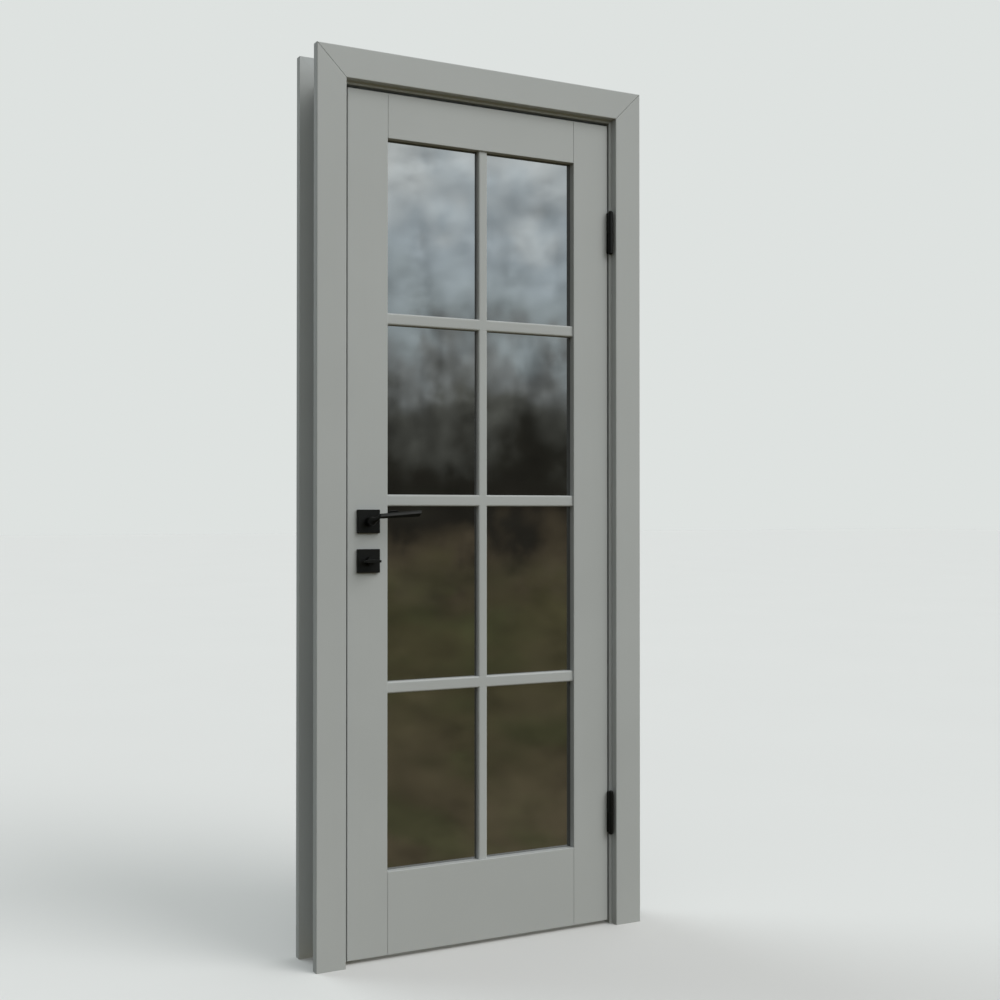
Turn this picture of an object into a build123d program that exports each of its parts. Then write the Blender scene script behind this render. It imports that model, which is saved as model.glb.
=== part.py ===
from build123d import *
from math import atan2, cos, degrees, radians, sin, sqrt
import os

# Leaf and the gaps round it. X runs along the wall, Y into it and Z up, from the hinge jamb's back face
leaf_width = 700.0
leaf_height = 2000.0
leaf_thickness = 40.0
floor_gap = 10.0
hinge_gap = 5.5
lock_gap = 3.0
head_gap = 8.0
edge_round = 1.5

# Frame: rebated jambs as deep as the wall is thick, with a stop behind the leaf
frame_depth = 95.0
jamb_thickness = 28.5
stop_height = 12.0
seal_space = 3.0
seal_clearance = 0.3
seal_width = 8.0
seal_base = 1.2
seal_tongue_width = 2.4
seal_tongue_depth = 6.0

# Casings on both faces of the wall
casing_width = 71.5
casing_thickness = 21.0
casing_setback = 7.5
casing_round = 2.0
joint_groove_width = 0.8
joint_groove_depth = 1.5

# Leaf construction
lock_stile_width = 100.0
hinge_stile_width = 98.0
top_rail_height = 104.5
bottom_rail_height = 191.8
field_round = 1.5
level_bar_width = 27.0
upright_bar_width = 23.0
bar_heights = (617.3, 1052.8, 1475.6)
bar_recess = 5.0
bar_round = 4.0

# Glazing
glass_thickness = 4.0
glass_setback = 18.0
rebate_width = 9.0
glass_edge_clearance = 2.0
bead_bevel = 3.0

# Hinges
hinge_length = 109.0
hinge_end_distance = 271.0
hinge_radius = 6.0
hinge_axis_stand = 12.0
hinge_bevel = 2.5
pin_end_wall = 9.0
pin_radius = 3.0
pin_clearance = 0.05
knuckle_clearance = 0.3
flap_length = 100.0
flap_width = 30.0
flap_thickness = 2.0
flap_corner = 6.0
flap_knuckle_clearance = 1.5

# Lock: case, forend, bolts and strike plate
backset = 50.0
handle_height = 1004.0
turn_distance = 91.0
case_thickness = 15.0
case_depth = 76.0
case_margin = 30.0
forend_width = 22.0
forend_thickness = 3.0
forend_margin = 22.0
latch_rise = 26.0
latch_width = 11.0
latch_height = 18.0
latch_throw = 12.0
latch_length = 40.0
bolt_width = 11.0
bolt_height = 24.0
bolt_throw = 12.0
bolt_length = 44.0
bolt_clearance = 0.3
strike_thickness = 2.5
strike_width = 24.0
strike_margin = 24.0
strike_clearance = 1.5
pocket_depth = 16.0

# Lever handles and thumb turn
rose_size = 54.5
rose_thickness = 9.0
rose_edge = 0.8
neck_radius = 10.0
neck_clearance = 0.08
neck_length = 26.0
lever_stand = 50.0
lever_root = 10.0
lever_rise = 15.0
lever_reach = 111.0
lever_tip_rise = 20.4
lever_height = 10.4
lever_tip_height = 12.8
lever_depth = 12.0
lever_corner = 1.6
lever_lean = 3.2
lever_root_bevel = 2.6
lever_tip_bevel = 5.6
lever_tip_slant = 5.0
spindle_size = 8.0
spindle_reach = 20.0
spindle_clearance = 0.1
spindle_hole = 14.0
turn_neck_radius = 9.5
turn_neck_length = 14.0
turn_length = 39.0
turn_height = 8.0
turn_stand = 15.0
turn_tip = 5.0
turn_edge = 0.8
turn_spindle_size = 6.0
release_radius = 9.0
release_stand = 3.0
release_slot_width = 2.0
release_slot_depth = 1.5

# Places worked out from the sizes above
wall_front = -frame_depth / 2
wall_back = frame_depth / 2
leaf_back = wall_front + leaf_thickness
stop_face = leaf_back + seal_space
hinge_face_x = -jamb_thickness
leaf_hinge_x = hinge_face_x - hinge_gap
leaf_lock_x = leaf_hinge_x - leaf_width
lock_face_x = leaf_lock_x - lock_gap
frame_lock_x = lock_face_x - jamb_thickness
middle_x = frame_lock_x / 2
leaf_top = floor_gap + leaf_height
head_face_z = leaf_top + head_gap
frame_top = head_face_z + jamb_thickness
casing_inner_top = head_face_z + casing_setback
casing_outer_top = casing_inner_top + casing_width
casing_inner_x = hinge_face_x + casing_setback
casing_outer_x = casing_inner_x + casing_width
field_low_x = leaf_lock_x + lock_stile_width
field_high_x = leaf_hinge_x - hinge_stile_width
field_low_z = floor_gap + bottom_rail_height
field_high_z = leaf_top - top_rail_height
lip_back = wall_front + glass_setback
glass_back = lip_back + glass_thickness
bar_front = wall_front + bar_recess
bar_back = leaf_back - bar_recess
handle_x = leaf_lock_x + backset
handle_z = floor_gap + handle_height
turn_z = handle_z - turn_distance
latch_z = handle_z + latch_rise
lock_y = (wall_front + leaf_back) / 2
hinge_x = (hinge_face_x + leaf_hinge_x) / 2
hinge_y = wall_front - hinge_axis_stand
over = 1.0

# Section plane whose across is Z, for outlines that run along the wall
upright_section = Plane(origin=(0, 0, 0), x_dir=(0, 0, 1), z_dir=(-1, 0, 0))


def block(low, high):
    """Box between two corners."""
    size = [high[i] - low[i] for i in range(3)]
    middle = [(high[i] + low[i]) / 2 for i in range(3)]
    return Pos(*middle) * Box(*size)


def other_side(shape):
    """The same piece on the other side of the doorway."""
    return mirror(shape, about=Plane.YZ.offset(middle_x))


def jamb_outline():
    """Rebated section of the hinge jamb, with its stop and the kerf for the seal."""
    stop_x = hinge_face_x - stop_height
    outline = Polyline(
        (0, wall_front), (hinge_face_x, wall_front), (hinge_face_x, stop_face),
        (stop_x, stop_face), (stop_x, wall_back), (0, wall_back), close=True,
    )
    section = make_face(outline)
    soft = section.vertices().filter_by(lambda v: v.X < hinge_face_x + over).sort_by(Axis.Y)
    section = fillet([soft[0], soft[-1]], edge_round)
    kerf_x = hinge_face_x - stop_height / 2
    kerf_y = stop_face + seal_tongue_depth / 2
    return section - Pos(kerf_x, kerf_y) * Rectangle(seal_tongue_width, seal_tongue_depth)


def side_jamb():
    """Full-height jamb."""
    return extrude(jamb_outline(), frame_top)


def strike_slot(height_z, width, height, depth_x):
    """Space cut in the lock jamb or its plate for one bolt."""
    half_width = width / 2 + strike_clearance
    half_height = height / 2 + strike_clearance
    return block(
        (lock_face_x - depth_x, lock_y - half_width, height_z - half_height),
        (lock_face_x + over, lock_y + half_width, height_z + half_height),
    )


def strike_blank():
    """Plate let into the lock jamb's rebate."""
    low_z = turn_z - bolt_height / 2 - strike_margin
    high_z = latch_z + latch_height / 2 + strike_margin
    return block(
        (lock_face_x - strike_thickness, lock_y - strike_width / 2, low_z),
        (lock_face_x, lock_y + strike_width / 2, high_z),
    )


def strike_plate():
    slots = strike_slot(latch_z, latch_width, latch_height, strike_thickness + over)
    slots += strike_slot(turn_z, bolt_width, bolt_height, strike_thickness + over)
    return strike_blank() - slots


def lock_jamb():
    """Lock side jamb with the plate's recess and a pocket for each bolt."""
    jamb = other_side(side_jamb()) - strike_blank()
    jamb -= strike_slot(latch_z, latch_width, latch_height, pocket_depth)
    return jamb - strike_slot(turn_z, bolt_width, bolt_height, pocket_depth)


def hinge_centres():
    """Heights of the two hinges."""
    return (floor_gap + hinge_end_distance, leaf_top - hinge_end_distance)


def flap_outline(x_low, centre_z):
    """Hinge flap lying in its recess, from its knuckle's side back into the gap."""
    front = hinge_y + hinge_radius + flap_knuckle_clearance
    back = wall_front + flap_width
    flap = block(
        (x_low, front, centre_z - flap_length / 2),
        (x_low + flap_thickness, back, centre_z + flap_length / 2),
    )
    back_edges = flap.edges().filter_by(Axis.X).group_by(Axis.Y)[-1]
    return fillet(back_edges, flap_corner)


def hinge_jamb():
    """Hinge side jamb with a recess for each frame flap."""
    jamb = side_jamb()
    for centre_z in hinge_centres():
        jamb -= flap_outline(hinge_face_x, centre_z)
    return jamb


def head_jamb():
    """Head between the side jambs, coped round their stops."""
    across = make_face(Polyline(
        (head_face_z, wall_front), (frame_top, wall_front), (frame_top, wall_back),
        (head_face_z - stop_height, wall_back), (head_face_z - stop_height, stop_face),
        (head_face_z, stop_face), close=True,
    ))
    soft = across.vertices().filter_by(lambda v: v.X < head_face_z + over).sort_by(Axis.Y)
    across = fillet([soft[0], soft[-1]], edge_round)
    kerf = Pos(head_face_z - stop_height / 2, stop_face + seal_tongue_depth / 2)
    across -= kerf * Rectangle(seal_tongue_width, seal_tongue_depth)
    head = extrude(upright_section * across, lock_face_x - hinge_face_x, dir=(1, 0, 0))
    head = Pos(hinge_face_x, 0, 0) * head
    stops = block((hinge_face_x - stop_height, stop_face, 0), (0, wall_back + over, frame_top + over))
    return head - stops - other_side(stops)


def seal_outline():
    """Flat foot with a rounded bulb towards the leaf and a tongue in the kerf."""
    bulb = seal_space - seal_clearance
    half = seal_width / 2
    foot = Polyline((-half, -seal_base), (-half, 0), (half, 0), (half, -seal_base))
    crown = ThreePointArc((half, -seal_base), (0, -bulb), (-half, -seal_base))
    tongue = Pos(0, (seal_tongue_depth - over) / 2) * Rectangle(seal_tongue_width, seal_tongue_depth - over)
    return make_face(foot + crown) + tongue


def side_seal():
    section = Pos(hinge_face_x - stop_height / 2, stop_face) * seal_outline()
    return extrude(section, head_face_z - stop_height)


def head_seal():
    section = Pos(head_face_z - stop_height / 2, stop_face) * seal_outline()
    length = hinge_face_x - lock_face_x - 2 * stop_height
    seal = extrude(upright_section * section, length, dir=(-1, 0, 0))
    return Pos(hinge_face_x - stop_height, 0, 0) * seal


def casing(points):
    """Flat mitred casing with its long front edges rounded, on the wall's front face."""
    outline = make_face(Polyline(*[(x, wall_front, z) for x, z in points], close=True))
    board = extrude(outline, casing_thickness, dir=(0, -1, 0))
    front = board.edges().group_by(Axis.Y)[0].sort_by(SortBy.LENGTH)
    return fillet(front[-2:], casing_round)


def mitre_groove():
    """Fine open joint along the mitre's front, shared by the two boards that meet there."""
    length = casing_width * 2
    corner = Pos((casing_inner_x + casing_outer_x) / 2, 0, (casing_inner_top + casing_outer_top) / 2)
    depth = Pos(0, wall_front - casing_thickness, 0)
    slot = Rot(0, -45, 0) * Box(length, 2 * joint_groove_depth, joint_groove_width)
    return corner * (depth * slot)


def side_casing():
    board = casing([
        (casing_inner_x, 0), (casing_outer_x, 0),
        (casing_outer_x, casing_outer_top), (casing_inner_x, casing_inner_top),
    ])
    return board - mitre_groove()


def head_casing():
    far_inner = 2 * middle_x - casing_inner_x
    far_outer = 2 * middle_x - casing_outer_x
    board = casing([
        (far_outer, casing_outer_top), (casing_outer_x, casing_outer_top),
        (casing_inner_x, casing_inner_top), (far_inner, casing_inner_top),
    ])
    return board - mitre_groove() - other_side(mitre_groove())


def round_corner(across, depth, side, radius):
    """Region that rounds an edge: side is -1 for wood on the low side, 1 for the high side."""
    square = Pos(across + side * radius / 2, depth + radius / 2) * Rectangle(radius, radius)
    return square - Pos(across + side * radius, depth + radius) * Circle(radius)


def span(low, high, front, back):
    """Rectangle across and through the leaf."""
    return Pos((low + high) / 2, (front + back) / 2) * Rectangle(high - low, back - front)


def field_front(low, high):
    """Rounded edge of the stiles and rails round the whole glazed field, front face."""
    section = span(low, high, wall_front, bar_front)
    section += round_corner(low, wall_front, -1, field_round)
    return section + round_corner(high, wall_front, 1, field_round)


def field_back(low, high):
    """The same at the back face, wider by the rebates."""
    section = field_front(low - rebate_width, high + rebate_width)
    return mirror(section, about=Plane.XZ.offset(-(wall_front + leaf_back) / 2))


def pane_section(low, high, low_bar, high_bar):
    """One pane's opening: sight size in front of the glass, rebate size behind it."""
    section = span(low, high, bar_front, lip_back + over)
    section += span(low - rebate_width, high + rebate_width, lip_back, bar_back + over)
    if low_bar:
        section += round_corner(low, bar_front, -1, bar_round)
    if high_bar:
        section += round_corner(high, bar_front, 1, bar_round)
    return section


def crossed(x_section, z_section):
    """Opening with both sections, mitred in its corners."""
    upright = extrude(x_section, leaf_top)
    level = extrude(upright_section * z_section, -frame_lock_x, dir=(-1, 0, 0))
    return upright & level


def pane_columns():
    """Low and high X of each column of panes, with the sides that are bars."""
    centre = (field_low_x + field_high_x) / 2
    return [
        (field_low_x, centre - upright_bar_width / 2, False, True),
        (centre + upright_bar_width / 2, field_high_x, True, False),
    ]


def pane_rows():
    """Low and high Z of each row of panes from the bottom up, with the sides that are bars."""
    rows = []
    low = field_low_z
    for height in bar_heights:
        rows.append((low, floor_gap + height - level_bar_width / 2, low > field_low_z, True))
        low = floor_gap + height + level_bar_width / 2
    rows.append((low, field_high_z, True, False))
    return rows


def glazed_openings():
    """All that is cut out of the leaf's timber for the glass."""
    cut = crossed(field_front(field_low_x, field_high_x), field_front(field_low_z, field_high_z))
    cut += crossed(field_back(field_low_x, field_high_x), field_back(field_low_z, field_high_z))
    for column in pane_columns():
        for row in pane_rows():
            cut += crossed(pane_section(*column), pane_section(*row))
    return cut


def lock_case():
    """Case in the lock stile with its forend, a channel for each bolt and the spindle holes."""
    low_z = turn_z - bolt_height / 2 - case_margin
    high_z = latch_z + latch_height / 2 + case_margin
    half = case_thickness / 2
    case = block((leaf_lock_x, lock_y - half, low_z), (leaf_lock_x + case_depth, lock_y + half, high_z))
    return case + forend_blank()


def forend_blank():
    """Plate let flush into the leaf's lock edge."""
    low_z = turn_z - bolt_height / 2 - case_margin - forend_margin
    high_z = latch_z + latch_height / 2 + case_margin + forend_margin
    half = forend_width / 2
    return block((leaf_lock_x, lock_y - half, low_z), (leaf_lock_x + forend_thickness, lock_y + half, high_z))


def channel(height_z, width, height, length):
    """Slot in which a bolt slides."""
    half_width = width / 2 + bolt_clearance
    half_height = height / 2 + bolt_clearance
    return block(
        (leaf_lock_x - over, lock_y - half_width, height_z - half_height),
        (leaf_lock_x + length, lock_y + half_width, height_z + half_height),
    )


def across_leaf(x, z, radius, front, back):
    """Round bar through the leaf between two depths."""
    return Pos(x, (front + back) / 2, z) * (Rot(90, 0, 0) * Cylinder(radius, back - front))


def finished_lock_case():
    case = lock_case()
    case -= channel(latch_z, latch_width, latch_height, latch_length + latch_throw)
    case -= channel(turn_z, bolt_width, bolt_height, bolt_length - turn_spindle_size)
    case -= across_leaf(handle_x, handle_z, spindle_hole / 2, wall_front, leaf_back)
    return case - across_leaf(handle_x, turn_z, spindle_hole / 2, wall_front, leaf_back)


def latch_bolt():
    """Sprung bolt, bevelled on the side that meets the strike first."""
    tip = leaf_lock_x - latch_throw
    half = latch_width / 2
    outline = Polyline(
        (tip, lock_y - half), (tip + latch_throw, lock_y + half),
        (leaf_lock_x + latch_length - latch_throw, lock_y + half),
        (leaf_lock_x + latch_length - latch_throw, lock_y - half), close=True,
    )
    bolt = extrude(make_face(outline), latch_height)
    return Pos(0, 0, latch_z - latch_height / 2) * bolt


def dead_bolt():
    half = bolt_width / 2
    end = leaf_lock_x + bolt_length - bolt_throw - turn_spindle_size
    bolt = block(
        (leaf_lock_x, lock_y - half, turn_z - bolt_height / 2),
        (end, lock_y + half, turn_z + bolt_height / 2),
    )
    return fillet(bolt.edges().group_by(Axis.X)[0], over)


def stile_blank(low_x, high_x):
    stile = block((low_x, wall_front, floor_gap), (high_x, leaf_back, leaf_top))
    outer = stile.edges().filter_by(Axis.Z)
    return stile, outer


def lock_stile(openings):
    stile, edges = stile_blank(leaf_lock_x, field_low_x)
    stile = fillet(edges.group_by(Axis.X)[0], edge_round)
    stile -= openings
    stile -= lock_case()
    stile -= across_leaf(handle_x, handle_z, spindle_hole / 2, wall_front - over, leaf_back + over)
    return stile - across_leaf(handle_x, turn_z, spindle_hole / 2, wall_front - over, leaf_back + over)


def hinge_stile(openings):
    stile, edges = stile_blank(field_high_x, leaf_hinge_x)
    stile = fillet(edges.group_by(Axis.X)[-1], edge_round)
    stile -= openings
    for centre_z in hinge_centres():
        stile -= flap_outline(leaf_hinge_x - flap_thickness, centre_z)
    return stile


def rail_groove(x, side):
    """Fine open joint at a rail's end on both faces: side is 1 at the rail's low end, -1 at its high end."""
    middle = Pos(x + side * joint_groove_width / 2, 0, leaf_top / 2)
    slot = middle * Box(joint_groove_width, 2 * joint_groove_depth, leaf_top)
    return Pos(0, wall_front, 0) * slot + Pos(0, leaf_back, 0) * slot


def rail(low_z, high_z, openings):
    """Level board between the stiles, with a fine groove where it meets each."""
    board = block((field_low_x, wall_front, low_z), (field_high_x, leaf_back, high_z))
    return board - openings - rail_groove(field_low_x, 1) - rail_groove(field_high_x, -1)


def level_bar(height, openings):
    middle = floor_gap + height
    board = block(
        (field_low_x, bar_front, middle - level_bar_width / 2),
        (field_high_x, bar_back, middle + level_bar_width / 2),
    )
    return board - openings


def upright_bars(openings):
    """Short bars between the level ones, one in each row."""
    centre = (field_low_x + field_high_x) / 2
    bars = []
    for low, high, low_bar, high_bar in pane_rows():
        board = block(
            (centre - upright_bar_width / 2, bar_front, low),
            (centre + upright_bar_width / 2, bar_back, high),
        )
        bars.append(board - openings)
    return Compound(children=[solid for bar in bars for solid in bar.solids()])


def pane(column, row):
    """Sheet of glass in its rebate."""
    reach = rebate_width - glass_edge_clearance
    return block(
        (column[0] - reach, lip_back, row[0] - reach),
        (column[1] + reach, glass_back, row[1] + reach),
    )


def bead_opening(low, high):
    """Space inside a pane's beads, with their edges bevelled at the back."""
    front = glass_back - over
    back = bar_back + over
    spread = bead_bevel + over
    return make_face(Polyline(
        (low, front), (high, front), (high, bar_back - bead_bevel), (high + spread, back),
        (low - spread, back), (low, bar_back - bead_bevel), close=True,
    ))


def bead_frame(column, row):
    """Four mitred beads that hold one pane from behind."""
    x_low, x_high = column[0], column[1]
    z_low, z_high = row[0], row[1]
    ring = crossed(
        span(x_low - rebate_width, x_high + rebate_width, glass_back, bar_back),
        span(z_low - rebate_width, z_high + rebate_width, glass_back, bar_back),
    )
    return ring - crossed(bead_opening(x_low, x_high), bead_opening(z_low, z_high))


def knuckle(start):
    """Half of the barrel, from a height above its middle up to its bevelled end."""
    length = hinge_length / 2 - start
    barrel = Pos(hinge_x, hinge_y, start + length / 2) * Cylinder(hinge_radius, length)
    return chamfer(barrel.edges().group_by(Axis.Z)[-1], hinge_bevel)


def frame_flap(centre_z):
    """Flap in the jamb with the lower knuckle."""
    flap = flap_outline(hinge_face_x, centre_z)
    web = block(
        (hinge_face_x, hinge_y, centre_z - flap_length / 2),
        (hinge_face_x + flap_thickness, wall_front, centre_z),
    )
    barrel = Pos(0, 0, centre_z) * mirror(knuckle(0), about=Plane.XY)
    return barrel + web + flap - pin_space(centre_z, 0)


def leaf_flap(centre_z):
    """Flap in the leaf's edge with the upper knuckle, which lifts off the pin."""
    low_x = leaf_hinge_x - flap_thickness
    flap = flap_outline(low_x, centre_z)
    web = block(
        (low_x, hinge_y, centre_z + knuckle_clearance),
        (leaf_hinge_x, wall_front, centre_z + flap_length / 2),
    )
    barrel = Pos(0, 0, centre_z) * knuckle(knuckle_clearance)
    return barrel + web + flap - pin_space(centre_z, pin_clearance)


def pin_space(centre_z, clearance):
    """Bore for the pin, blind at both ends."""
    length = hinge_length - 2 * pin_end_wall + 2 * clearance
    return Pos(hinge_x, hinge_y, centre_z) * Cylinder(pin_radius + clearance, length)


def hinge_pin(centre_z):
    """Pin fixed in the lower knuckle, on which the upper one turns."""
    return Pos(hinge_x, hinge_y, centre_z) * Cylinder(pin_radius, hinge_length - 2 * pin_end_wall)


def to_back(shape):
    """The same fitting on the leaf's other face."""
    return mirror(shape, about=Plane.XZ.offset(-lock_y))


def rose(height_z, bore):
    """Square rose on the leaf's front face with a round bore for its neck."""
    plate = block(
        (handle_x - rose_size / 2, wall_front - rose_thickness, height_z - rose_size / 2),
        (handle_x + rose_size / 2, wall_front, height_z + rose_size / 2),
    )
    front = plate.edges().group_by(Axis.Y)[0]
    sides = plate.edges().filter_by(Axis.Y)
    plate = chamfer(front + sides, rose_edge)
    return plate - across_leaf(handle_x, height_z, bore, wall_front - rose_thickness - over, wall_front + over)


def lever_section(u, out, rise, turn, size, corner, bevel, lean):
    """Eight-sided section of the lever: a longer bevel on its lower front corner, and above it a front that leans back.

    u runs along the leaf from the handle's axis and out away from it. The section faces away from the leaf at a
    turn of 0 degrees and along it at 90.
    """
    half_depth, half_height = size[0] / 2, size[1] / 2
    outline = Polyline(
        (bevel - half_depth, -half_height), (half_depth - corner, -half_height),
        (half_depth, corner - half_height), (half_depth, half_height - corner),
        (half_depth - corner, half_height), (corner + lean - half_depth, half_height),
        (lean - half_depth, half_height - corner), (-half_depth, bevel - half_height), close=True,
    )
    place = Plane(
        origin=(handle_x + u, wall_front - out, handle_z + rise),
        x_dir=Vector(1, 0, 0).rotate(Axis.Z, turn),
        z_dir=Vector(0, -1, 0).rotate(Axis.Z, turn),
    )
    return place * make_face(outline)


def lever_bend():
    """Sections of the gooseneck from the round neck's end to the grip's root."""
    neck_side = 2 * neck_radius * cos(radians(22.5))
    neck_corner = neck_side / (2 + sqrt(2))
    sections = []
    for turn in (0, 30, 60, 90):
        along = 1 - cos(radians(turn))
        outward = sin(radians(turn))
        corner = neck_corner + (lever_corner - neck_corner) * along
        sections.append(lever_section(
            lever_root * along,
            neck_length - over + (lever_stand - neck_length + over) * outward,
            lever_rise * along,
            turn,
            (neck_side + (lever_depth - neck_side) * along, neck_side + (lever_height - neck_side) * along),
            corner,
            corner + (lever_root_bevel - lever_corner) * along,
            lever_lean * along,
        ))
    return sections


def lever():
    """Round neck, gooseneck that sweeps out, up and along the leaf, and a faceted grip rising to its slanted tip."""
    neck = across_leaf(handle_x, handle_z, neck_radius, wall_front - neck_length, wall_front - over)
    bend = lever_bend()
    end = lever_section(
        lever_reach + lever_tip_slant / 2, lever_stand, lever_tip_rise, 90, (lever_depth, lever_tip_height),
        lever_corner, lever_tip_bevel, lever_lean,
    )
    past_tip = Box(lever_reach, 2 * lever_depth, lever_reach, align=(Align.MIN, Align.CENTER, Align.CENTER))
    tilt = degrees(atan2(lever_tip_slant, lever_tip_height))
    tip = Pos(handle_x + lever_reach, wall_front - lever_stand, handle_z + lever_tip_rise)
    grip = loft([bend[-1], end]) - tip * (Rot(0, tilt, 0) * past_tip)
    return neck + loft(bend, ruled=True) + grip


def spindle():
    """Square bar that joins the two levers through the lock."""
    half = spindle_size / 2
    return block(
        (handle_x - half, wall_front - over, handle_z - half),
        (handle_x + half, leaf_back + spindle_reach, handle_z + half),
    )


def spindle_socket():
    """Square hole in the back lever for the spindle's end."""
    half = spindle_size / 2 + spindle_clearance
    return block(
        (handle_x - half, leaf_back, handle_z - half),
        (handle_x + half, leaf_back + spindle_reach + spindle_clearance, handle_z + half),
    )


def turn_wing():
    """Lens-shaped wing that the fingers hold, level when unlocked."""
    half = turn_length / 2
    blunt = turn_tip / 2
    upper = ThreePointArc((-half, blunt), (0, turn_height / 2), (half, blunt))
    lower = ThreePointArc((half, -blunt), (0, -turn_height / 2), (-half, -blunt))
    tips = Line((-half, -blunt), (-half, blunt)) + Line((half, blunt), (half, -blunt))
    wing = extrude(Plane.XZ * make_face(upper + lower + tips), turn_stand)
    return chamfer(wing.edges().group_by(Axis.Y)[0], turn_edge)


def thumb_turn():
    """Round neck with its wing, on a square spindle that ends in the coin release."""
    out = rose_thickness + turn_neck_length
    neck = across_leaf(handle_x, turn_z, turn_neck_radius, wall_front - out, wall_front - bolt_clearance)
    wing = Pos(handle_x, wall_front - out + over, turn_z) * turn_wing()
    half = turn_spindle_size / 2
    bar = block((handle_x - half, wall_front - over, turn_z - half), (handle_x + half, leaf_back + over, turn_z + half))
    return neck + wing + bar + release()


def release():
    """Slotted disc in the back rose, turned with a coin."""
    face = leaf_back + rose_thickness + release_stand
    disc = across_leaf(handle_x, turn_z, release_radius, leaf_back + bolt_clearance, face)
    slot = block(
        (handle_x - release_radius, face - release_slot_depth, turn_z - release_slot_width / 2),
        (handle_x + release_radius, face + over, turn_z + release_slot_width / 2),
    )
    return disc - slot


def write(shape, name):
    export_step(shape, "parts/" + name + ".step")


os.makedirs("parts", exist_ok=True)
openings = glazed_openings()

write(hinge_jamb(), "jamb_hinge_side")
write(lock_jamb(), "jamb_lock_side")
write(head_jamb(), "jamb_head")
write(side_seal(), "seal_hinge_side")
write(other_side(side_seal()), "seal_lock_side")
write(head_seal(), "seal_head")
write(side_casing(), "casing_front_hinge_side")
write(other_side(side_casing()), "casing_front_lock_side")
write(head_casing(), "casing_front_head")
write(mirror(side_casing(), about=Plane.XZ), "casing_back_hinge_side")
write(mirror(other_side(side_casing()), about=Plane.XZ), "casing_back_lock_side")
write(mirror(head_casing(), about=Plane.XZ), "casing_back_head")
write(strike_plate(), "strike_plate")

write(lock_stile(openings), "stile_lock_side")
write(hinge_stile(openings), "stile_hinge_side")
write(rail(field_high_z, leaf_top, openings), "rail_top")
write(rail(floor_gap, field_low_z, openings), "rail_bottom")
for name, height in zip(("lower", "middle", "upper"), bar_heights):
    write(level_bar(height, openings), "bar_" + name)
write(upright_bars(openings), "bars_upright")
beads = []
for column, side in zip(pane_columns(), ("left", "right")):
    for number, row in enumerate(pane_rows(), 1):
        write(pane(column, row), "pane_" + side + "_" + str(number))
        beads += bead_frame(column, row).solids()
write(Compound(children=beads), "glazing_beads")

for name, centre_z in zip(("lower", "upper"), hinge_centres()):
    write(frame_flap(centre_z), "hinge_" + name + "_frame_flap")
    write(leaf_flap(centre_z), "hinge_" + name + "_leaf_flap")
    write(hinge_pin(centre_z), "hinge_" + name + "_pin")

write(finished_lock_case(), "lock_case")
write(latch_bolt(), "latch_bolt")
write(dead_bolt(), "dead_bolt")
write(rose(handle_z, neck_radius + neck_clearance), "rose_front")
write(to_back(rose(handle_z, neck_radius + neck_clearance)), "rose_back")
write(lever() + spindle(), "lever_front")
write(to_back(lever()) - spindle_socket(), "lever_back")
write(rose(turn_z, turn_neck_radius + neck_clearance), "turn_rose_front")
write(to_back(rose(turn_z, release_radius + neck_clearance)), "turn_rose_back")
write(thumb_turn(), "thumb_turn")
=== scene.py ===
import bpy, bmesh, math
import numpy as np
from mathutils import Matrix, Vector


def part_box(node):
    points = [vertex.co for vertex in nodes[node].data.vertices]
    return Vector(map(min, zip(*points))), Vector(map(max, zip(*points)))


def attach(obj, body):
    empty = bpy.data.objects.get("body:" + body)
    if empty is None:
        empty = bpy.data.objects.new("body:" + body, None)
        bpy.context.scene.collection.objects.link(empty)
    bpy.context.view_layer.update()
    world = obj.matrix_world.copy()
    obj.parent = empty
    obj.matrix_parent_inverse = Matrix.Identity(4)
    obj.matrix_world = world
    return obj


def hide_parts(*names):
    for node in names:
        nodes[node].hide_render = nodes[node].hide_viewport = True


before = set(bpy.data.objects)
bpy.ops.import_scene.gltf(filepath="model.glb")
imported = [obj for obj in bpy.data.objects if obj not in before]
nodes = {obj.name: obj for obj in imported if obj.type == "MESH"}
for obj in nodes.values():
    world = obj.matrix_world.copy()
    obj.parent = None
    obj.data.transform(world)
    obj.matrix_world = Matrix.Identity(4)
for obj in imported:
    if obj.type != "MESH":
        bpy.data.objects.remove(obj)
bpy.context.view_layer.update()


# Jambs and head
# The frame is planed from knot-free timber, rebated for the leaf and sprayed in the factory with a satin light
# grey paint. The paint follows the grain very faintly, and a painted highlight lightens it along the edges.
def link(material, source, target):
    """Joins two sockets in the nodes of a material or of the world."""
    material.node_tree.links.new(source, target)


def new_material(name):
    """Empty material with its shader, and the object's own coordinates in metres."""
    material = bpy.data.materials.new(name)
    material.use_nodes = True
    shader = material.node_tree.nodes["Principled BSDF"]
    place = material.node_tree.nodes.new("ShaderNodeTexCoord")
    return material, shader, place.outputs["Object"]


def noise(material, place, scale, stretch=(1, 1, 1), detail=3.0, rough=0.5):
    """Cloudy pattern: scale is in patches per metre, and a low stretch along an axis draws it out that way."""
    mapping = material.node_tree.nodes.new("ShaderNodeMapping")
    mapping.inputs["Scale"].default_value = stretch
    link(material, place, mapping.inputs["Vector"])
    node = material.node_tree.nodes.new("ShaderNodeTexNoise")
    node.inputs["Scale"].default_value = scale
    node.inputs["Detail"].default_value = detail
    node.inputs["Roughness"].default_value = rough
    link(material, mapping.outputs["Vector"], node.inputs["Vector"])
    return node.outputs["Fac"]


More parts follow.
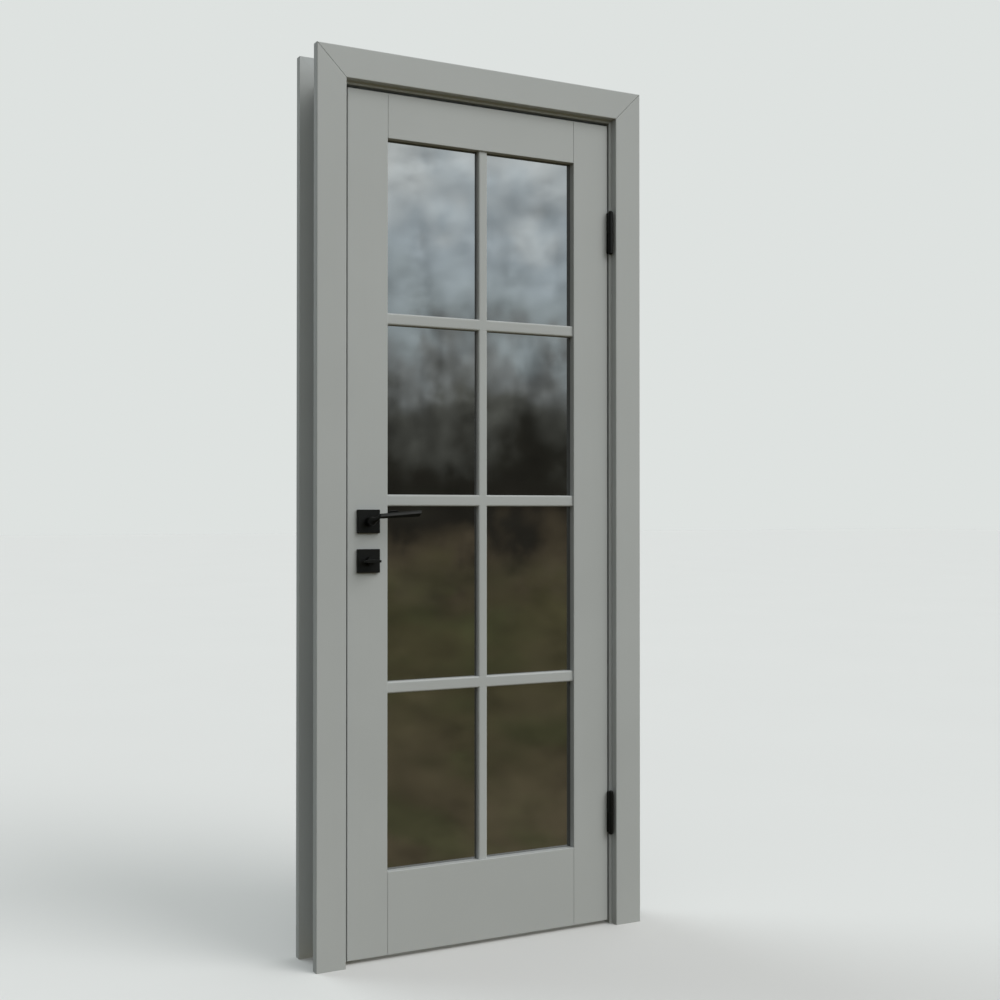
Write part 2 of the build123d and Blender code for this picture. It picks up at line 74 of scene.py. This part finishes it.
def spread(material, value, low, high, start=0.25, end=0.75):
    """Takes a pattern's range from start to end onto the range from low to high."""
    node = material.node_tree.nodes.new("ShaderNodeMapRange")
    node.inputs["From Min"].default_value = start
    node.inputs["From Max"].default_value = end
    node.inputs["To Min"].default_value = low
    node.inputs["To Max"].default_value = high
    link(material, value, node.inputs["Value"])
    return node.outputs["Result"]


def mixed(material, share, first, second):
    """Colour between two others. Either may be a colour or another node's output."""
    node = material.node_tree.nodes.new("ShaderNodeMix")
    node.data_type = "RGBA"
    link(material, share, node.inputs["Factor"])
    for socket, colour in ((node.inputs["A"], first), (node.inputs["B"], second)):
        if isinstance(colour, tuple):
            socket.default_value = (*colour, 1)
        else:
            link(material, colour, socket)
    return node.outputs["Result"]


def combined(material, first, second, how="ADD"):
    """Sum of two values, or what else how names. Either may be a number or another node's output."""
    node = material.node_tree.nodes.new("ShaderNodeMath")
    node.operation = how
    for socket, value in zip(node.inputs, (first, second)):
        if isinstance(value, (int, float)):
            socket.default_value = value
        else:
            link(material, value, socket)
    return node.outputs["Value"]


def edges(material, radius):
    """1 on edges within about that radius and 0 on flat faces, with the softened normal."""
    bevel = material.node_tree.nodes.new("ShaderNodeBevel")
    bevel.samples = 4
    bevel.inputs["Radius"].default_value = radius
    shape = material.node_tree.nodes.new("ShaderNodeNewGeometry")
    dot = material.node_tree.nodes.new("ShaderNodeVectorMath")
    dot.operation = "DOT_PRODUCT"
    link(material, bevel.outputs["Normal"], dot.inputs[0])
    link(material, shape.outputs["Normal"], dot.inputs[1])
    return spread(material, dot.outputs["Value"], 1.0, 0.0, start=0.86, end=0.995), bevel.outputs["Normal"]


def bump(material, shader, height, distance, strength, normal=None):
    """Relief from a pattern: distance is its depth in metres, and normal may be the one softened on edges."""
    node = material.node_tree.nodes.new("ShaderNodeBump")
    node.inputs["Distance"].default_value = distance
    node.inputs["Strength"].default_value = strength
    link(material, height, node.inputs["Height"])
    if normal is not None:
        link(material, normal, node.inputs["Normal"])
    link(material, node.outputs["Normal"], shader.inputs["Normal"])


def shade(colour, factor, white=0.0):
    """Darker or lighter shade of a colour, with a little white added."""
    return tuple(factor * c + white for c in colour)


def paint(name, colour, grain):
    """Satin spray paint on timber, with the grain drawn out along one axis of the object."""
    material, shader, place = new_material(name)
    streaks = noise(material, place, scale=130, stretch=grain, detail=5)
    clouds = noise(material, place, scale=3.2)
    spray = noise(material, place, scale=1500, detail=1)
    deep, light, edge_highlight = shade(colour, 0.955), shade(colour, 1.02), shade(colour, 1.14)
    edge_mask, normal = edges(material, radius=0.0012)
    body = mixed(material, spread(material, clouds, 0, 1), deep, light)
    body = mixed(material, spread(material, streaks, 0, 0.22), body, deep)
    # The lightest shade is a painted highlight, mixed in along the edges.
    body = mixed(material, spread(material, edge_mask, 0, 0.3, start=0, end=1), body, edge_highlight)
    link(material, body, shader.inputs["Base Color"])
    rough = combined(material, spread(material, clouds, 0.40, 0.47), spread(material, spray, -0.02, 0.03))
    link(material, rough, shader.inputs["Roughness"])
    shader.inputs["Specular IOR Level"].default_value = 0.4
    height = combined(material, spread(material, streaks, 0, 0.6, start=0.2, end=0.8), spray)
    bump(material, shader, height, distance=0.00004, strength=0.5, normal=normal)
    return material


def dress(material, names):
    """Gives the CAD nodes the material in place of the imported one."""
    for name in names:
        node = nodes[name]
        node.data.materials.clear()
        node.data.materials.append(material)


light_grey = (0.508, 0.519, 0.519)
upright_grain, level_grain = (1, 1, 0.035), (0.035, 1, 1)
dress(paint("jamb_paint_upright", light_grey, upright_grain),
      ["jamb_hinge_side", "jamb_lock_side"])
dress(paint("jamb_paint_level", light_grey, level_grain), ["jamb_head"])

# Seals
# A soft black extruded rubber strip is pushed into the kerf of each stop, and the leaf closes against its bulb.
# It is dull, with fine lines along the extrusion and a trace of dust.
rubber, shader, place = new_material("seal_rubber")
dust = noise(rubber, place, scale=40, detail=4)
lines = noise(rubber, place, scale=900, stretch=(1, 1, 0.02), detail=2)
clean_rubber, dusty_rubber = (0.018, 0.018, 0.018), (0.05, 0.05, 0.047)
dusty = mixed(rubber, spread(rubber, dust, 0, 0.4), clean_rubber, dusty_rubber)
link(rubber, dusty, shader.inputs["Base Color"])
link(rubber, spread(rubber, dust, 0.62, 0.85), shader.inputs["Roughness"])
bump(rubber, shader, lines, distance=0.0001, strength=0.4)
dress(rubber, ["seal_hinge_side", "seal_lock_side", "seal_head"])

# Casings
# Flat boards of dense fibreboard, sprayed in the same grey, glued and pinned over the joint between the frame
# and the wall on both faces. They meet in mitres that show as fine dark lines.
faces = ("front", "back")
dress(paint("casing_paint_upright", light_grey, upright_grain),
      ["casing_%s_%s" % (f, s) for f in faces for s in ("hinge_side", "lock_side")])
dress(paint("casing_paint_level", light_grey, level_grain),
      ["casing_%s_head" % f for f in faces])

# Leaf
# Two stiles and two rails are dowelled and glued round the glazed field, and slim bars divide it. All is
# sprayed before assembly, so each rail's ends show as fine lines against the stiles.
dress(paint("leaf_paint_upright", light_grey, upright_grain),
      ["stile_lock_side", "stile_hinge_side", "bars_upright"])
dress(paint("leaf_paint_level", light_grey, level_grain),
      ["rail_top", "rail_bottom", "bar_lower", "bar_middle", "bar_upper", "glazing_beads"])

# Panes
# Eight sheets of toughened glass, bedded in the rebates and held from behind by the beads. They mirror
# what stands opposite. Their colour is a painted shade: near black and letting little through, in place of the
# dark seen through the panes. Fingermarks and wiping leave the faintest haze.
glass, shader, place = new_material("glass")
haze = noise(glass, place, scale=6, detail=5)
smears = noise(glass, place, scale=18, stretch=(1, 1, 0.35), detail=4)
# Painted shade: a near-black colour and an alpha close to 1 stand in for the dark seen through the panes.
shader.inputs["Base Color"].default_value = (0.006, 0.006, 0.005, 1)
shader.inputs["IOR"].default_value = 2.2
shader.inputs["Specular IOR Level"].default_value = 1.0
shader.inputs["Alpha"].default_value = 0.985
rough = combined(glass, spread(glass, haze, 0.01, 0.035), spread(glass, smears, 0.0, 0.02))
link(glass, rough, shader.inputs["Roughness"])
bump(glass, shader, noise(glass, place, scale=2.2, detail=1), distance=0.0006, strength=0.25)
dress(glass, ["pane_%s_%d" % (s, n) for s in ("left", "right") for n in (1, 2, 3, 4)])


# Hinges
# Lift-off hinges of steel, powder coated matt black: each has a flap in the jamb with the lower knuckle and its
# pin, and one in the leaf's edge with the upper knuckle. Four countersunk cross-recess screws hold each flap.
def powder_coat(name, colour):
    """Matt black powder coat: a fine orange-peel grain, with a painted highlight lightening it along the edges.
    """
    material, shader, place = new_material(name)
    grain = noise(material, place, scale=2600, detail=2)
    handled = noise(material, place, scale=28, detail=4)
    touched, highlit_edge = shade(colour, 1.6), shade(colour, 2.6, white=0.006)
    edge_mask, normal = edges(material, radius=0.0006)
    body = mixed(material, spread(material, handled, 0, 0.5), colour, touched)
    # The lightest shade is a painted highlight, mixed in along the edges.
    body = mixed(material, spread(material, edge_mask, 0, 0.5, start=0, end=1), body, highlit_edge)
    link(material, body, shader.inputs["Base Color"])
    link(material, spread(material, handled, 0.40, 0.50), shader.inputs["Roughness"])
    shader.inputs["Specular IOR Level"].default_value = 0.22
    bump(material, shader, grain, distance=0.00006, strength=0.5, normal=normal)
    return material


black = powder_coat("black_hardware", (0.0028, 0.0031, 0.0026))
hinges = ("hinge_lower", "hinge_upper")
dress(black, [h + p for h in hinges for p in ("_frame_flap", "_leaf_flap", "_pin")])


def ring_faces(rings, across):
    """Four-sided faces between neighbouring rings, for that many rings with that many points in each."""
    index = np.arange(rings * across).reshape(rings, across)
    after = np.roll(index, -1, axis=1)
    return np.stack([index[:-1], after[:-1], after[1:], index[1:]], axis=-1).reshape(-1, 4)


def add_piece(name, points, quads, material, body):
    """New object that rides on a body. Doubles are merged so that poles close, and normals turned outward."""
    same_point, no_length, sharp = 1e-6, 1e-7, math.radians(38)
    mesh = bpy.data.meshes.new(name)
    mesh.from_pydata(points.reshape(-1, 3).tolist(), [], quads.tolist())
    work = bmesh.new()
    work.from_mesh(mesh)
    bmesh.ops.remove_doubles(work, verts=work.verts, dist=same_point)
    bmesh.ops.dissolve_degenerate(work, dist=no_length, edges=work.edges)
    bmesh.ops.recalc_face_normals(work, faces=work.faces)
    work.to_mesh(mesh)
    work.free()
    mesh.shade_smooth()
    mesh.set_sharp_from_angle(angle=sharp)
    mesh.materials.append(material)
    piece = bpy.data.objects.new(name, mesh)
    bpy.context.scene.collection.objects.link(piece)
    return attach(piece, body)


def screw_heads(name, places, outward, radius, material, body):
    """Countersunk heads with a cross recess, which face +X or -X as outward is 1 or -1.

    Lengths are shares of the head's radius. At a distance r from its middle a head stands
    dome * sqrt(1 - r ** 8) over its seat, a shallow dome that rolls down at the rim. The cross is cut from
    that: a point lies in an arm where the smaller of its two distances from the middle, across and up, is under
    arm_half and the larger under arm_reach, and the recess slopes down over side_slope and end_slope.
    """
    dome, recess, rim_depth = 0.10, 0.26, 0.05
    arm_half, arm_reach, side_slope, end_slope = 0.115, 0.56, 0.04, 0.06
    turns = np.linspace(0, 2 * np.pi, 48, endpoint=False)
    steps = np.concatenate([np.linspace(0, 0.62, 16), np.linspace(0.66, 0.93, 6), [0.97, 0.99, 1.0, 1.0]])
    r, turn = np.meshgrid(steps, turns, indexing="ij")
    a, b = r * np.cos(turn), r * np.sin(turn)
    narrow, wide = np.minimum(abs(a), abs(b)), np.maximum(abs(a), abs(b))
    inside = np.clip((arm_half - narrow) / side_slope, 0, 1) * np.clip((arm_reach - wide) / end_slope, 0, 1)
    rise = dome * np.sqrt(np.clip(1 - r ** 8, 0, 1)) - recess * inside
    rise[-1] = -rim_depth
    head = radius * np.stack([outward * rise, a, outward * b], axis=-1)
    points = np.concatenate([np.array(place) + head for place in places])
    quads = np.concatenate([ring_faces(*r.shape) + n * r.size for n in range(len(places))])
    add_piece(name, points, quads, material, body)


flap_length, hinge_screw = 0.109, 0.0038
frame_flap_face, leaf_flap_face = -0.0285, -0.034
near_knuckle, far_from_knuckle, end_screw, inner_screw = -0.039, -0.026, 0.037, 0.013
screw_rows = ((far_from_knuckle, end_screw), (near_knuckle, inner_screw),
              (far_from_knuckle, -inner_screw), (near_knuckle, -end_screw))
for hinge in hinges:
    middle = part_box(hinge + "_frame_flap")[0].z + flap_length / 2
    for flap, x, outward, body in (("_frame_flap", frame_flap_face, -1, "frame"),
                                   ("_leaf_flap", leaf_flap_face, 1, "leaf")):
        places = [(x, y, middle + z) for y, z in screw_rows]
        screw_heads(hinge + flap + "_screws", places, outward, hinge_screw, black, body)

# Lock and strike plate
# A mortise lock in brushed stainless steel: its forend is let flush into the leaf's edge, and the strike plate
# lies in the jamb opposite. Two cross-recess screws hold each, above and below the bolts.
steel, shader, place = new_material("lock_steel")
strokes = noise(steel, place, scale=420, stretch=(1, 1, 0.02), detail=4, rough=0.6)
marks = noise(steel, place, scale=22, detail=4)
edge_mask, soft = edges(steel, radius=0.0005)
dark_stroke, light_stroke = (0.40, 0.40, 0.39), (0.58, 0.58, 0.565)
handled, lighter_edge = (0.34, 0.335, 0.32), (0.68, 0.68, 0.665)
brushed = mixed(steel, spread(steel, strokes, 0, 1), dark_stroke, light_stroke)
marked = mixed(steel, spread(steel, marks, 0, 0.35), brushed, handled)
# The edges are mixed towards a lighter colour.
link(steel, mixed(steel, edge_mask, marked, lighter_edge), shader.inputs["Base Color"])
shader.inputs["Metallic"].default_value = 1.0
rough = combined(steel, spread(steel, strokes, 0.26, 0.38), spread(steel, marks, 0.0, 0.08))
link(steel, rough, shader.inputs["Roughness"])
bump(steel, shader, strokes, distance=0.00003, strength=0.5, normal=soft)
dress(steel, ["lock_case", "strike_plate", "latch_bolt", "dead_bolt"])
lock_y, forend_face, strike_face, lock_screw, screw_inset = -0.0275, -0.734, -0.737, 0.0036, 0.011
for name, plate, face, outward, body in (("forend_screws", "lock_case", forend_face, -1, "leaf"),
                                         ("strike_screws", "strike_plate", strike_face, 1, "frame")):
    low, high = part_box(plate)
    places = [(face, lock_y, low.z + screw_inset), (face, lock_y, high.z - screw_inset)]
    screw_heads(name, places, outward, lock_screw, steel, body)

# Roses
# Square cast plates clipped over the lever's and the thumb turn's bearings on both faces, powder coated like
# the rest of the fittings, with a small chamfer all round.
dress(black, ["rose_front", "rose_back", "turn_rose_front", "turn_rose_back"])

# Levers
# Each lever is one zinc casting. Its round neck comes out of the rose, sweeps up and along the leaf in a
# gooseneck and flattens into a faceted grip: a front that leans back and takes the light, over a facet that
# falls away below.
handle_x, handle_z, leaf_front = -0.684, 1.014, -0.0475


def lever_rings():
    """Sections of the front lever as rings of points along its middle line.

    The middle line starts inside the rose, runs straight out, goes along a quarter of an ellipse and then up
    the grip. At each section u is how far it has come along the leaf, out how far from it, and rise how far up.

    A section has eight sides, each given by the direction it faces and its distance from the middle. Drawn in
    by a radius and then rolled round with a circle of that radius, it gets a round corner between each two
    sides. With all distances and the radius at 10.5 mm it is the round neck, and with the grip's distances and
    a radius of 0.8 mm the faceted grip. The bend blends one into the other, and early makes that end at 64 of
    its 90 degrees. Towards the tip the sections lean, and the last ones are drawn in to close it.
    """
    neck_radius, round_off, half_deep, corner, lean = 0.0105, 0.0008, 0.006, 0.0016, 0.0032
    neck_start, neck_end, grip_out, grip_length, grip_rise = 0.001, 0.025, 0.050, 0.1002, 0.0062
    bend_along, bend_rise, early, tip_slant = 0.010, 0.0120, 1.4, 0.33
    bend_high, tip_high, bend_facet, tip_facet = 0.0111, 0.0148, 0.0043, 0.0079
    neck = np.linspace(0, 1, 10)
    turn = np.radians(np.linspace(0, 90, 40))[1:]
    grip = np.linspace(0, 1, 36)[1:]
    tip = np.radians(np.linspace(0, 90, 7))[1:]
    before, flat, after = np.zeros(len(neck)), np.ones(len(grip)), np.ones(len(tip))
    blend = np.concatenate([before, np.sin(np.minimum(early * turn, np.pi / 2)) ** 2, flat, after])
    along = np.concatenate([before, np.zeros(len(turn)), grip, after])
    angle = np.concatenate([before, turn, np.pi / 2 * flat, np.pi / 2 * after])
    u = np.concatenate([before, bend_along * (1 - np.cos(turn)), bend_along + grip_length * grip,
                        bend_along + grip_length + round_off * np.sin(tip)])
    out = np.concatenate([neck_start + (neck_end - neck_start) * neck,
                          neck_end + (grip_out - neck_end) * np.sin(turn), grip_out * flat, grip_out * after])
    rise = np.concatenate([before, bend_rise * (1 - np.cos(turn)), bend_rise + grip_rise * grip,
                           (bend_rise + grip_rise) * after])
    half_high = (bend_high + (tip_high - bend_high) * along) / 2
    facet = bend_facet + (tip_facet - bend_facet) * along
    slant = tip_slant * along ** 6
    front = np.pi / 2 + np.arctan2(2 * half_high - facet - corner, lean)
    root2 = math.sqrt(2)
    facing = np.tile(np.radians([0, 45, 90, 135, 180, 225, 270, 315]), (len(u), 1))
    facing[:, 4] += blend * (front - np.pi)
    reach = np.stack([
        np.full(len(u), half_deep),
        (half_deep + half_high - corner) / root2,
        half_high,
        (half_deep - corner - lean + half_high) / root2,
        -half_deep * np.cos(front) + (facet - half_high) * np.sin(front),
        (half_deep + half_high - facet) / root2,
        half_high,
        (half_deep - corner + half_high) / root2,
    ], 1)
    radius = neck_radius + (round_off - neck_radius) * blend
    inner = neck_radius + (reach - neck_radius) * blend[:, None] - radius[:, None]
    facing_next, inner_next = np.roll(facing, -1, 1), np.roll(inner, -1, 1)
    facing_next[:, -1] += 2 * np.pi
    wedge = np.sin(facing_next - facing)
    across = (inner * np.sin(facing_next) - inner_next * np.sin(facing)) / wedge
    height = (inner_next * np.cos(facing) - inner * np.cos(facing_next)) / wedge
    rolled = facing[..., None] + (facing_next - facing)[..., None] * np.linspace(0, 1, 8)
    rolling = (radius * np.concatenate([np.ones(len(u) - len(tip)), np.cos(tip)]))[:, None, None]
    a = (across[..., None] + rolling * np.cos(rolled)).reshape(len(u), -1)
    b = (height[..., None] + rolling * np.sin(rolled)).reshape(len(u), -1)
    points = np.stack([
        handle_x + u[:, None] + a * np.cos(angle)[:, None] + slant[:, None] * b,
        leaf_front - out[:, None] + a * np.sin(angle)[:, None],
        handle_z + rise[:, None] + b,
    ], -1)
    first, last = (np.repeat(ring.mean(0, keepdims=True), len(ring), axis=0)[None] for ring in points[[0, -1]])
    return np.concatenate([first, points, last])


front_rings = lever_rings()
back_rings = front_rings * [1, -1, 1] + [0, 2 * lock_y, 0]
for side, rings in (("front", front_rings), ("back", back_rings)):
    quads = ring_faces(*rings.shape[:2])
    lever = add_piece("lever_%s_cast" % side, rings, quads, black, "handle")
    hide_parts("lever_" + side)

# Thumb turn
# A lens-shaped wing on a round neck throws the dead bolt from the front, and a slotted disc on the same spindle
# releases it with a coin from the back.
dress(black, ["thumb_turn"])

# Floor
# A plain matt floor, pale and very faintly uneven in tone, carries the door set and takes its shadow. It throws
# no light back and the panes don't mirror it, so the sky alone fills the shadows and shows in the glass.
far = 60
floor_mesh = bpy.data.meshes.new("floor")
floor_mesh.from_pydata([(-far, -far, 0), (far, -far, 0), (far, far, 0), (-far, far, 0)], [], [(0, 1, 2, 3)])
floor = bpy.data.objects.new("floor", floor_mesh)
bpy.context.scene.collection.objects.link(floor)
pale, _, place = new_material("pale_floor")
tone = spread(pale, noise(pale, place, scale=0.8), 0, 1)
matt = pale.node_tree.nodes.new("ShaderNodeBsdfDiffuse")
link(pale, mixed(pale, tone, (0.765, 0.755, 0.755), (0.775, 0.765, 0.765)), matt.inputs["Color"])
link(pale, matt.outputs["BSDF"], pale.node_tree.nodes["Material Output"].inputs["Surface"])
floor_mesh.materials.append(pale)
floor.visible_glossy = False
floor.visible_diffuse = False
floor.visible_transmission = False


# Lamps
# Two broad soft lamps stand far off: the main one high at the front, round towards the hinges, and a cooler one
# lower down at the back, a little towards the lock side, which doesn't show in the glass.
def soft_lamp(name, height, round_to, spread_angle, power, colour):
    """Broad even light from far off. It stands that high over the horizon and that far round from straight in
    front towards the hinges, and its disc is that wide, all in degrees."""
    data = bpy.data.lights.new(name, "SUN")
    data.angle = math.radians(spread_angle)
    data.energy = power
    data.color = colour
    lamp = bpy.data.objects.new(name, data)
    lamp.rotation_euler = (math.radians(90 - height), 0, math.radians(round_to))
    bpy.context.scene.collection.objects.link(lamp)
    return lamp


soft_lamp("main_lamp", height=44, round_to=34, spread_angle=34, power=1.02, colour=(1.0, 1.0, 0.98))
rear_lamp = soft_lamp("rear_lamp", height=30, round_to=-150, spread_angle=50, power=1.26,
                      colour=(0.90, 1.0, 1.0))
rear_lamp.visible_glossy = False

# Sky
# Soft broken cloud stands over a dark ragged horizon with fine upright twigs, and below it lies a dim ground in
# brown and olive. The panes mirror these, and the camera itself sees a plain pale backdrop in place of them.
world = bpy.data.worlds.new("soft_sky")
bpy.context.scene.world = world
world.use_nodes = True
tree = world.node_tree
direction = tree.nodes.new("ShaderNodeTexCoord").outputs["Generated"]
moved = tree.nodes.new("ShaderNodeVectorMath")
moved.inputs[1].default_value = (4.2, 1.7, -1.1)
link(world, direction, moved.inputs[0])
pattern = moved.outputs["Vector"]
parts = tree.nodes.new("ShaderNodeSeparateXYZ")
link(world, direction, parts.inputs["Vector"])
rise_of_ray = parts.outputs["Z"]


def multiplied(first, *others):
    """Product of several values in the sky's nodes."""
    for other in others:
        first = combined(world, first, other, "MULTIPLY")
    return first


ragged = 0.045
mottled = noise(world, pattern, scale=24, stretch=(1, 1, 0.8), detail=6, rough=0.62)
height = combined(world, rise_of_ray, spread(world, mottled, -ragged, ragged, start=0.3, end=0.7))
ramp_start = -0.3
ramp = tree.nodes.new("ShaderNodeValToRGB")
link(world, spread(world, height, 0, 1, start=ramp_start, end=ramp_start + 1), ramp.inputs["Fac"])
colours_by_rise = (
    (-0.22, (0.118, 0.098, 0.060)),
    (-0.08, (0.094, 0.086, 0.043)),
    (-0.035, (0.092, 0.075, 0.048)),
    (-0.005, (0.022, 0.020, 0.016)),
    (0.035, (0.026, 0.025, 0.019)),
    (0.075, (0.125, 0.13, 0.115)),
    (0.105, (0.31, 0.335, 0.335)),
    (0.13, (0.47, 0.545, 0.565)),
    (0.19, (0.56, 0.65, 0.70)),
    (0.24, (0.80, 0.87, 0.885)),
    (0.30, (0.84, 0.89, 0.88)),
    (0.45, (0.50, 0.52, 0.505)),
)
for n, (rise, colour) in enumerate(colours_by_rise):
    position = rise - ramp_start
    stop = ramp.color_ramp.elements[n] if n < 2 else ramp.color_ramp.elements.new(position)
    stop.position = position
    stop.color = (*colour, 1)
broken = noise(world, pattern, scale=9, stretch=(1, 1, 2.2), detail=4)
clouds = spread(world, broken, 0.84, 1.18, start=0.3, end=0.7)
fine_upright = noise(world, pattern, scale=38, stretch=(1, 1, 0.24), detail=6, rough=0.7)
twigs = spread(world, fine_upright, 0, 0.75, start=0.50, end=0.70)
below_sky = spread(world, rise_of_ray, 1, 0, start=0.11, end=0.24)
above_ground = spread(world, rise_of_ray, 0, 1, start=0.03, end=0.07)
thinned = combined(world, 1, multiplied(twigs, multiplied(below_sky, above_ground)), "SUBTRACT")
patches = noise(world, pattern, scale=34, stretch=(1, 1, 1.8), detail=5, rough=0.6)
uneven = spread(world, patches, 0.72, 1.30, start=0.3, end=0.7)
toward = tree.nodes.new("ShaderNodeVectorMath")
toward.operation = "DOT_PRODUCT"
toward.inputs[1].default_value = (0.8, -0.6, 0.0)
link(world, direction, toward.inputs[0])
side = spread(world, toward.outputs["Value"], 0.2, 1.8, start=-1, end=1)
tufts = noise(world, pattern, scale=16, stretch=(1, 1, 2), detail=4)
growth = spread(world, tufts, 0, 0.6, start=0.46, end=0.62)
on_ground = spread(world, rise_of_ray, 1, 0, start=-0.07, end=-0.03)
olive = (0.080, 0.090, 0.040)
sky = tree.nodes["Background"]
link(world, mixed(world, multiplied(growth, on_ground), ramp.outputs["Color"], olive), sky.inputs["Color"])
link(world, multiplied(clouds, thinned, uneven, side), sky.inputs["Strength"])
backdrop = tree.nodes.new("ShaderNodeBackground")
backdrop.inputs["Color"].default_value = (0.730, 0.761, 0.746, 1)
seen = tree.nodes.new("ShaderNodeLightPath")
choice = tree.nodes.new("ShaderNodeMixShader")
link(world, seen.outputs["Is Camera Ray"], choice.inputs["Fac"])
link(world, sky.outputs["Background"], choice.inputs[1])
link(world, backdrop.outputs["Background"], choice.inputs[2])
link(world, choice.outputs["Shader"], tree.nodes["World Output"].inputs["Surface"])

# Camera
# It stands about as high as the levers and some 3.4 m from the middle of the door set, towards the lock side.
# It looks almost level, through a 50 mm lens on a 36 mm sensor.
camera_data = bpy.data.cameras.new("camera")
camera_data.lens = 50
camera_data.sensor_width = 36
camera = bpy.data.objects.new("camera", camera_data)
camera.location = (-1.9014, -3.0236, 1.0369)
camera.rotation_euler = (math.radians(90.472), 0, math.radians(-27.689))
bpy.context.scene.collection.objects.link(camera)
bpy.context.scene.camera = camera
bpy.context.scene.view_settings.view_transform = "Standard"
